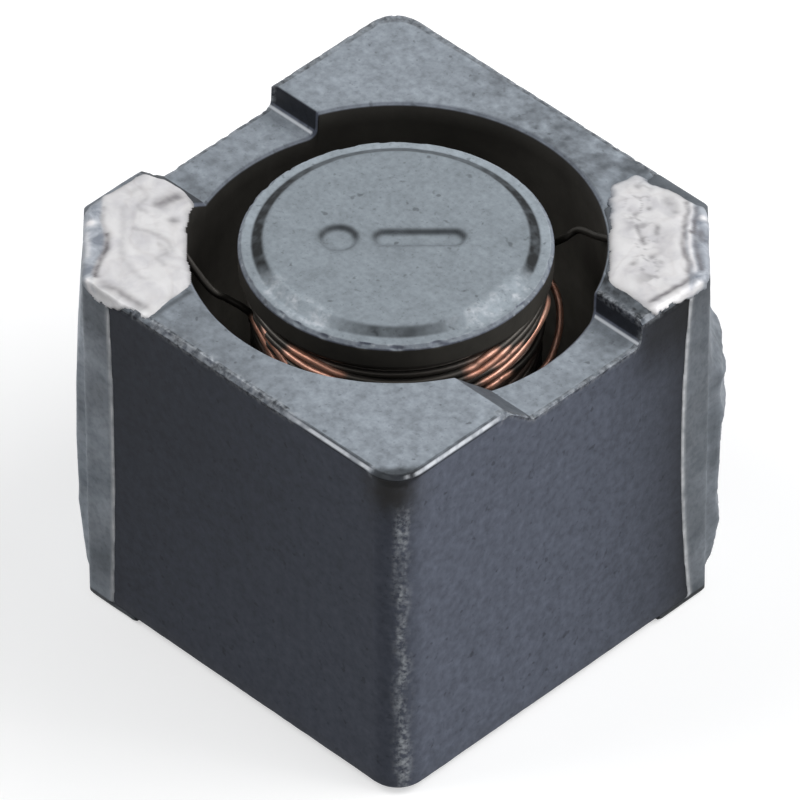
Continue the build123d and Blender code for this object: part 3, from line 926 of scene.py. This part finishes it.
def build_clip(side, sign, form, kink, lumps, knobs, widths, shade, skin_shade):
    points, normals, quads = dense_mesh("terminal_" + side, CLIP_VOXEL)
    plan = np.abs(points[:, :2])
    reach = plan.sum(axis=1) / ROOT_TWO
    pressed = np.maximum(reach - leg_reach, 0.0) * (1 - bow_share(points[:, 2], form))
    points[:, :2] -= sign * (pressed / ROOT_TWO)[:, None]
    wave = 0.5 + 0.5 * grain(points, 1.1, 4.4 if sign > 0 else 9.2)
    moved = points - normals * (CLIP_WAVE * wave)[:, None]

    # Lugs: their edges moved to the widths seen, and brighter, worn and with a painted highlight
    plan = np.abs(points[:, :2])
    heights = points[:, 2]
    flank = plan[:, 0] > plan[:, 1]
    along = np.where(flank, points[:, 1], points[:, 0]) * sign
    lug = (plan.max(axis=1) > half_side - 0.25) & (along < LUG_ROOT)
    lug &= (heights > 0.25) & (heights < ring_top - 0.3)
    width = lug_width(heights, widths)
    wider = LUG_ROOT - (LUG_ROOT - along) * (width / lug_width(heights, CAD_LUG_WIDTHS))
    shift = np.where(lug, wider - along, 0.0) * sign
    moved[:, 1] += np.where(flank, shift, 0.0)
    moved[:, 0] += np.where(flank, 0.0, shift)
    edge = bell(np.where(lug, wider - (LUG_ROOT - width), 9.0) - 0.05, 0.07)
    wear = unit(edge * (0.75 + 0.5 * grain(points, 0.3, 13.1)))

    skin_points, skin_quads = leg_skin(sign, form, kink, lumps, knobs)
    skin_tone = np.clip(skin_shade + 0.35 * grain(skin_points, 0.9, 6.6), 0.4, 1.3)
    tone = np.r_[0.92 + 0.3 * grain(points, 1.4, 2.9), skin_tone]
    heights = np.r_[heights, skin_points[:, 2]]
    shadow = 0.55 + 0.45 * smooth_step(ring_top - heights, 0.25, 1.8)
    shadow = np.where(heights > ring_top - 0.12, 0.72, shadow)
    shadow = np.where(heights < 0.22, 0.2, shadow)
    quads = quads.tolist() + [[k + len(points) for k in q] for q in skin_quads]
    moved = inside_box(np.vstack([moved, skin_points]))
    piece = add_piece("clip_" + side, moved, quads, tinned, "tinned_metal",
                      tone=tone * shade * shadow, wear=np.r_[wear, np.zeros(len(skin_points))])
    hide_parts("terminal_" + side)


def leg_skin(sign, form, kink, lumps, knobs):
    """The coat over a leg's outer face: it bulges over the strap and thins out at the leg's edges."""
    across = np.arange(-SKIN_HALF_WIDTH, SKIN_HALF_WIDTH + 0.001, SKIN_STEP)
    heights = np.arange(SKIN_LOW, SKIN_HIGH, SKIN_STEP)
    u, z = np.stack(np.meshgrid(across, heights, indexing="ij"), axis=-1).reshape(-1, 2).T
    below = (z - BOW_LOW) / (BOW_MIDDLE - BOW_LOW)
    span = np.where(z < BOW_MIDDLE, below, (BOW_HIGH - z) / (BOW_HIGH - BOW_MIDDLE))
    bow = BOW * (1 - (1 - unit(span)) ** 2)
    bow = np.maximum(bow, np.interp(z, (0.35, kink, BOW_MIDDLE), (0.0, 0.95 * BOW, 0.0))) * bow_share(z, form)
    side = fade(np.abs(u), 0.95, SKIN_HALF_WIDTH)
    ends = smooth_step(z, SKIN_LOW, 0.9) * fade(z, 9.1, SKIN_HIGH)
    spots = np.c_[u, z, np.full(len(u), 2.0 * sign)]
    bumps = np.clip(0.15 + 0.7 * grain(spots, 1.0, 1.7 * sign) + 0.4 * grain(spots, 0.35, 5.1), 0.0, 1.2)
    swell = sum(bell(z - place, width) for place, width in knobs)
    raised = bow + 0.01 + lumps * (bumps * fade(z, 6.7, 7.3) + swell)
    reach = leg_reach + raised * side * ends - 0.05 * (1 - side * ends)
    outer = np.c_[(reach - u) * SLANT, (reach + u) * SLANT, z]
    inner = np.c_[(leg_reach - SKIN_SINK - u) * SLANT, (leg_reach - SKIN_SINK + u) * SLANT, z]
    cells = np.ones((len(across) - 1, len(heights) - 1), bool)
    points, quads, _ = sheet_solid(outer, inner, cells, len(heights))
    points[:, :2] *= sign
    return points, [q[::-1] for q in quads]


# Solder on the tabs: lumpy sheets that fold over the clips' edges

SOLDER_GRID = 0.05
BEND = 0.17
SOLDER_THICK = 0.11
SOLDER_SINK = 0.04
SOLDER_TAPER = 0.6
LOOP_STEPS = 8
STROKE_STEPS = 30

# Outlines seen from above in the +X +Y corner's frame; what lies past the clip's edge folds down over it
RIGHT_OUTLINE = [
    (2.45, 5.62), (2.27, 5.1), (2.66, 4.4), (3.1, 4.02), (3.56, 3.56), (4.05, 3.09), (4.38, 2.62),
    (4.72, 2.42), (5.3, 2.43), (5.86, 2.44), (6.1, 2.46), (6.15, 2.94), (6.26, 3.44), (6.34, 3.98),
    (5.98, 4.5), (5.4, 5.07), (4.85, 5.62), (4.4, 5.92), (4.0, 5.86), (3.4, 5.8), (2.85, 5.68),
]
LEFT_OUTLINE = [
    (5.86, 2.4), (5.4, 2.14), (4.8, 2.12), (4.36, 2.42), (4.08, 2.84), (3.74, 3.26), (3.24, 3.72),
    (2.86, 4.04), (2.5, 4.34), (2.28, 4.6), (2.25, 5.03), (2.2, 5.58), (2.22, 6.02), (2.6, 6.04),
    (3.0, 6.2), (3.3, 6.42), (3.7, 6.48), (4.05, 6.36), (4.42, 6.04), (4.9, 5.57), (5.4, 5.07),
    (5.84, 4.6), (6.0, 4.2), (5.96, 3.6), (5.94, 3.1), (5.95, 2.65),
]

# Lines and spots left by the solder's last flow, and glints, in the same frame: points, half width, mark and
# rise.
# A mark above 0 is a painted highlight, brighter by that share, and one below 0 is a stain.
# The first line of each is the border of the pool; past it, towards the folded edge, the coat is thin and
# grey.
RIGHT_STROKES = [
    ([(3.93, 5.75), (4.3, 5.35), (4.6, 4.94), (5.06, 4.46), (5.5, 4.19), (5.72, 3.89)], 0.08, -0.75, -0.03),
    ([(4.22, 5.74), (4.78, 5.12), (5.38, 4.6), (5.85, 4.26)], 0.07, -0.75, -0.03),
    ([(4.02, 5.8), (4.7, 5.03), (5.22, 4.53), (5.76, 4.12)], 0.07, 0.3, 0.02),
    ([(5.78, 2.6), (5.86, 3.09), (5.88, 3.65), (5.78, 3.95)], 0.08, -0.8, -0.03),
    ([(6.08, 2.5), (6.14, 2.95), (6.18, 3.45), (6.18, 3.9)], 0.11, 0.34, 0.03),
    ([(3.46, 5.53), (3.73, 5.45), (4.0, 5.31)], 0.14, -0.4, -0.01),
    ([(3.38, 4.6)], 0.09, -0.6, -0.02),
    ([(3.47, 4.95)], 0.08, -0.6, -0.02),
    ([(4.05, 4.6), (4.26, 4.4)], 0.08, -0.6, -0.02),
    ([(3.7, 4.3), (3.97, 4.12), (4.26, 3.95)], 0.07, -0.65, -0.02),
    ([(4.72, 3.75)], 0.1, -0.6, -0.02),
    ([(4.58, 3.29)], 0.09, -0.5, -0.02),
    ([(5.02, 3.72)], 0.08, -0.5, -0.02),
    ([(2.7, 5.34)], 0.1, -0.5, -0.01),
    ([(4.75, 5.05)], 0.09, -0.9, -0.02),
    ([(4.9, 5.2), (5.1, 5.05)], 0.12, -0.6, 0.0),
    ([(4.6, 5.6)], 0.1, 0.4, 0.02),
]
LEFT_STROKES = [
    ([(5.69, 4.03), (5.35, 4.4), (4.89, 4.7), (4.54, 5.06), (4.4, 5.43), (4.19, 5.77)], 0.07, -0.4, -0.02),
    ([(4.95, 4.66), (4.54, 5.06), (4.4, 5.43), (4.19, 5.77), (4.02, 5.9)], 0.07, -0.9, -0.02),
    ([(4.62, 4.08), (4.14, 3.86), (3.69, 3.87), (3.4, 3.99)], 0.08, -0.3, -0.01),
    ([(5.36, 3.75), (4.75, 4.3), (4.19, 4.92), (3.42, 5.21), (3.14, 5.13)], 0.09, -0.2, -0.01),
    ([(5.61, 3.24), (5.58, 2.95), (5.22, 3.1), (5.12, 3.46), (4.83, 3.48)], 0.09, -0.24, -0.01),
    ([(4.81, 3.0), (4.76, 2.75), (4.71, 2.45)], 0.2, -0.7, -0.02),
    ([(4.16, 3.22)], 0.13, -0.7, -0.02),
    ([(3.8, 4.02), (3.45, 4.13), (3.45, 4.43), (3.2, 4.5)], 0.09, -0.3, -0.01),
    ([(3.72, 5.96), (3.21, 5.9), (2.48, 5.87)], 0.11, -0.55, -0.02),
    ([(4.05, 6.1), (3.9, 6.3), (3.6, 6.4), (3.3, 6.3), (3.0, 6.16), (2.6, 6.1), (2.25, 6.06)],
     0.11, 0.36, 0.03),
    ([(5.48, 4.63)], 0.12, 0.4, 0.02),
    ([(5.3, 4.95), (4.7, 5.5)], 0.07, 0.2, 0.01),
]

# Where the solder is crazed: a line, its half width and strength
RIGHT_CRAZE = ([(2.8, 5.3), (3.4, 4.6), (4.0, 4.25), (4.5, 3.8), (5.2, 3.2)], 0.3, 0.5)
LEFT_CRAZE = ([(5.4, 3.0), (4.9, 3.3), (4.2, 3.7), (3.5, 4.2)], 0.3, 0.1)


def nearest(places, start, end):
    """The point of a straight line that is nearest to each place, and how far it is."""
    run = end - start
    spot = start + unit(((places - start) @ run) / (run @ run))[:, None] * run
    return spot, np.linalg.norm(places - spot, axis=1)


def outline_distance(places, outline):
    """Distance of each place inside a closed outline, negative outside."""
    loop = spline(outline + outline[:3], LOOP_STEPS)[LOOP_STEPS:]
    loop = loop[: len(outline) * LOOP_STEPS]
    best = np.full(len(places), 1e9)
    crossings = np.zeros(len(places), int)
    for a, b in zip(loop, np.roll(loop, -1, axis=0)):
        best = np.minimum(best, nearest(places, a, b)[1])
        spans = (a[1] > places[:, 1]) != (b[1] > places[:, 1])
        rise = b[1] - a[1]
        cross = a[0] + (places[:, 1] - a[1]) * (b[0] - a[0]) / (rise if abs(rise) > 1e-12 else 1e-12)
        crossings += spans & (places[:, 0] < cross)
    return np.where(crossings % 2 == 1, best, -best)


def folded_base(places):
    """Where a place of the flat outline lies on the clip: its point and its outward normal."""
    edge = half_side - BEND
    corner = (leg_reach - BEND) * ROOT_TWO - edge
    line = np.array([(-edge, edge), (corner, edge), (edge, corner), (edge, -edge)])
    inside = (places[:, 0] <= edge) & (places[:, 1] <= edge) & (places.sum(axis=1) <= edge + corner)
    near = np.zeros_like(places)
    best = np.full(len(places), 1e9)
    for a, b in zip(line, line[1:]):
        spot, gap = nearest(places, a, b)
        closer = gap < best
        near[closer] = spot[closer]
        best = np.where(closer, gap, best)
    past = np.where(inside, 0.0, best)
    away = np.where(past[:, None] > 1e-9, (places - near) / np.maximum(best, 1e-9)[:, None], 0.0)
    angle = np.minimum(past / BEND, math.pi / 2)
    drop = np.maximum(past - BEND * math.pi / 2, 0.0)
    flat = np.where(inside[:, None], places, near) + away * (BEND * np.sin(angle))[:, None]
    points = np.c_[flat, ring_top - BEND * (1 - np.cos(angle)) - drop]
    normals = np.c_[away * np.sin(angle)[:, None], np.cos(angle)]
    return points, normals


def stroke(places, line, width):
    """1 on a line of the flat outline, or at a single spot, and fading out over a width."""
    best = np.full(len(places), 1e9)
    for spot in spline(line, STROKE_STEPS) if len(line) > 1 else np.array(line, float):
        best = np.minimum(best, np.linalg.norm(places - spot, axis=1))
    return bell(best, width)


def past_border(places, line):
    """1 where a place lies past a pool's border, towards the clip's folded edge."""
    border = np.array(line, float)
    across = (border[:, 1] - border[:, 0]) / ROOT_TWO
    reach = border.sum(axis=1) / ROOT_TWO
    order = np.argsort(across)
    limit = np.interp((places[:, 1] - places[:, 0]) / ROOT_TWO, across[order], reach[order])
    return smooth_step(places.sum(axis=1) / ROOT_TWO - limit, 0.0, 0.08)


def build_solder(side, sign, outline, strokes, craze):
    low = np.min(outline, axis=0) - 0.3
    high = np.max(outline, axis=0) + 0.3
    columns = np.arange(low[0], high[0], SOLDER_GRID)
    rows = np.arange(low[1], high[1], SOLDER_GRID)
    grid = np.stack(np.meshgrid(columns, rows, indexing="ij"), axis=-1).reshape(-1, 2)
    flat = np.c_[grid, np.full(len(grid), 3.0 * sign)]
    fine = grain(flat, 0.3, 1.3)
    depth = outline_distance(grid, outline) + 0.04 * grain(flat, 0.5, 2.7) + 0.025 * fine
    depth += 0.1 * grain(flat, 0.14, 9.9) * smooth_step(grid.max(axis=1), half_side - 0.1, half_side)
    frayed = (sign > 0) * fade(grid[:, 0], 2.9, 3.5) * smooth_step(grid[:, 1], 3.4, 4.2)
    depth += 0.12 * grain(flat, 0.42, 4.9) * frayed
    base, normals = folded_base(grid)
    crown = 1.0 - inward(depth, 0.1)

    # Colour: crazed along a line, then the strokes, a painted shade along the border and the thin coat past
    # the pool
    broken = np.clip(0.95 + 0.55 * grain(flat, 0.22, 17.7), 0.4, 1.2)
    shaken = grid + 0.035 * np.c_[fine, grain(flat, 0.3, 31.7)]
    cracks = smooth_step(0.16 - np.abs(grain(flat, 0.36, 23.1, 2)), 0.0, 0.16)
    clots = smooth_step(grain(flat, 0.32, 41.3, 2), 0.0, 0.5)
    stain = craze[2] * np.maximum(cracks, clots) * stroke(grid, craze[0], craze[1])
    change = np.zeros(len(grid))
    rise = -0.012 * stain
    for line, width, mark, raised in strokes:
        share = stroke(shaken, line, width)
        stain = np.maximum(stain, max(-mark, 0.0) * share * broken)
        change += max(mark, 0.0) * share
        rise += raised * share
    plain = unit(1 - 3 * change)
    # Painted shade along the border, and painted highlights where marks are above 0
    tone = (1.0 - 0.35 * inward(depth, 0.06) * plain) * (1.0 + change)
    thin = past_border(grid, strokes[0][0])
    coat = np.maximum(0.95 * thin, 0.9 * frayed * inward(depth, 0.1)) * plain

    # Shape: lumpy and crowned; the -X -Y sheet hangs down the notch's sloping end
    lumps = 0.55 + 0.3 * grain(flat, 0.8, 6.1) + 0.14 * fine - 0.15 * thin
    thick = SOLDER_THICK * np.clip(lumps, 0.2, 1.15) + rise
    thick = np.where(depth > 0, crown * np.maximum(thick, 0.015), depth * SOLDER_TAPER)
    drop = (sign < 0) * unit((RAMP_HEAD - grid[:, 1]) / (RAMP_HEAD - RAMP_FOOT)) * NOTCH_DEPTH
    outer = base + normals * thick[:, None]
    outer[:, 2] -= drop * (1.0 - 0.7 * crown)
    inner = base - normals * SOLDER_SINK
    inner[:, 2] -= drop
    keep = (depth > -SOLDER_SINK / SOLDER_TAPER * 0.9).reshape(len(columns), len(rows))
    cells = keep[:-1, :-1] & keep[1:, :-1] & keep[1:, 1:] & keep[:-1, 1:]
    points, quads, used = sheet_solid(outer, inner, cells, len(rows))
    points[:, :2] *= sign
    piece = add_piece("pad_solder_" + side, inside_box(points), quads, solder, "solder",
                      stain=unit(np.tile(stain, 2)[used]), tone=np.clip(np.tile(tone, 2)[used], 0.2, 1.28),
                      thin=unit(np.tile(coat, 2)[used]))
    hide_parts("solder_" + side)


def sheet_solid(outer, inner, cells, row_count):
    """A closed solid from the kept cells of a grid's outer and inner faces, and which points it keeps."""
    count = len(outer)
    quads = []
    sides = {}
    for i, j in zip(*np.nonzero(cells)):
        a = i * row_count + j
        loop = (a, a + row_count, a + row_count + 1, a + 1)
        quads.append(loop)
        quads.append(tuple(k + count for k in reversed(loop)))
        for start, end in zip(loop, loop[1:] + loop[:1]):
            if (end, start) in sides:
                del sides[(end, start)]
            else:
                sides[(start, end)] = True
    for start, end in sides:
        quads.append((end, start, start + count, end + count))
    used = sorted({k for q in quads for k in q})
    index = {k: n for n, k in enumerate(used)}
    points = np.vstack([outer, inner])[used]
    return points, [tuple(index[k] for k in q) for q in quads], used


build_ring()
build_drum()
build_coil()
build_wires()
build_clip("left", -1.0, (0.7, 0.0), 2.7, 0.01, ((6.7, 0.4), (3.0, 0.35)), (0.83, 0.98, 0.89), 0.8, 1.2)
build_clip("right", 1.0, (1.0, 0.85), 2.0, 0.09, ((6.6, 0.26), (5.4, 0.3)), (0.57, 0.9, 0.67), 0.5, 1.1)
build_solder("left", -1.0, LEFT_OUTLINE, LEFT_STROKES, LEFT_CRAZE)
build_solder("right", 1.0, RIGHT_OUTLINE, RIGHT_STROKES, RIGHT_CRAZE)
for bond in ("core_bond", "terminal_bond_left", "terminal_bond_right"):
    nodes[bond].data.materials.clear()
    nodes[bond].data.materials.append(epoxy)


# Stage: a pale floor, white for the eye and darker for stray light, and soft studio lamps

FLOOR_HALF = 1.5
LAMP_DISTANCE = 0.25
LAMP_HEIGHT = 0.12


def build_floor():
    mesh = bpy.data.meshes.new("floor")
    corners = [(x * FLOOR_HALF, y * FLOOR_HALF, 0) for x, y in ((-1, -1), (1, -1), (1, 1), (-1, 1))]
    mesh.from_pydata(corners, [], [(0, 1, 2, 3)])
    floor = add_object("floor", mesh)
    n = Nodes(bpy.data.materials.new("floor"))
    dim = n.add("BsdfDiffuse", {"Color": (0.12, 0.12, 0.12)})
    pale = n.add("BsdfDiffuse", {"Color": (0.7, 0.7, 0.7)})
    glow = n.add("Emission", {"Strength": 0.5})
    bright = n.add("AddShader", {0: pale.outputs[0], 1: glow.outputs[0]})
    mesh.materials.append(n.finish(n.by_ray(dim, bright)))


def build_world():
    n = Nodes(bpy.data.worlds.new("world"))
    ambient = n.add("Background", {"Color": (0.9, 0.95, 1.0), "Strength": 0.12})
    white = n.add("Background", {"Color": (1.0, 1.0, 1.0), "Strength": 1.0})
    bpy.context.scene.world = n.finish(n.by_ray(ambient, white), "OutputWorld")


def direction(azimuth, elevation):
    """From the part outwards; azimuths are counted from -Y towards +X."""
    turn = math.radians(azimuth)
    rise = math.radians(elevation)
    return Vector((math.sin(turn) * math.cos(rise), -math.cos(turn) * math.cos(rise), math.sin(rise)))


def add_lamp(name, azimuth, elevation, width, watts):
    """A soft area lamp that faces the part; its azimuth is counted from the camera, towards the right."""
    away = direction(VIEW_AZIMUTH + azimuth, elevation)
    light = bpy.data.lights.new(name, "AREA")
    light.shape = "RECTANGLE"
    light.size = width
    light.size_y = LAMP_HEIGHT
    light.energy = watts
    lamp = add_object(name, light)
    lamp.location = Vector((0, 0, VIEW_CENTRE_HEIGHT * MM)) + away * LAMP_DISTANCE
    lamp.rotation_euler = (-away).to_track_quat("-Z", "Y").to_euler()
    lamp.visible_camera = False


def build_camera():
    back = direction(VIEW_AZIMUTH, VIEW_ELEVATION)
    level = direction(VIEW_AZIMUTH + 90.0, 0.0)
    upright = back.cross(level)
    roll = math.radians(VIEW_ROLL)
    right = level * math.cos(roll) + upright * math.sin(roll)
    up = upright * math.cos(roll) - level * math.sin(roll)
    aim = Vector((0, 0, VIEW_CENTRE_HEIGHT)) + right * VIEW_AIM_RIGHT + up * VIEW_AIM_UP
    camera = bpy.data.cameras.new("camera")
    camera.lens = LENS
    camera.sensor_width = SENSOR
    camera.clip_start = 0.01
    camera.clip_end = 20.0
    holder = add_object("camera", camera)
    turn = Matrix((right, up, back)).transposed().to_4x4()
    holder.matrix_world = Matrix.Translation((aim + back * VIEW_DISTANCE) * MM) @ turn
    bpy.context.scene.camera = holder


build_floor()
build_world()
build_camera()
add_lamp("left_box", -97.0, 45.0, 0.2, 0.31)
add_lamp("right_box", 97.0, 45.0, 0.2, 0.44)
add_lamp("right_fill", 60.0, 15.0, 0.12, 0.22)
bpy.context.scene.view_settings.view_transform = "Standard"
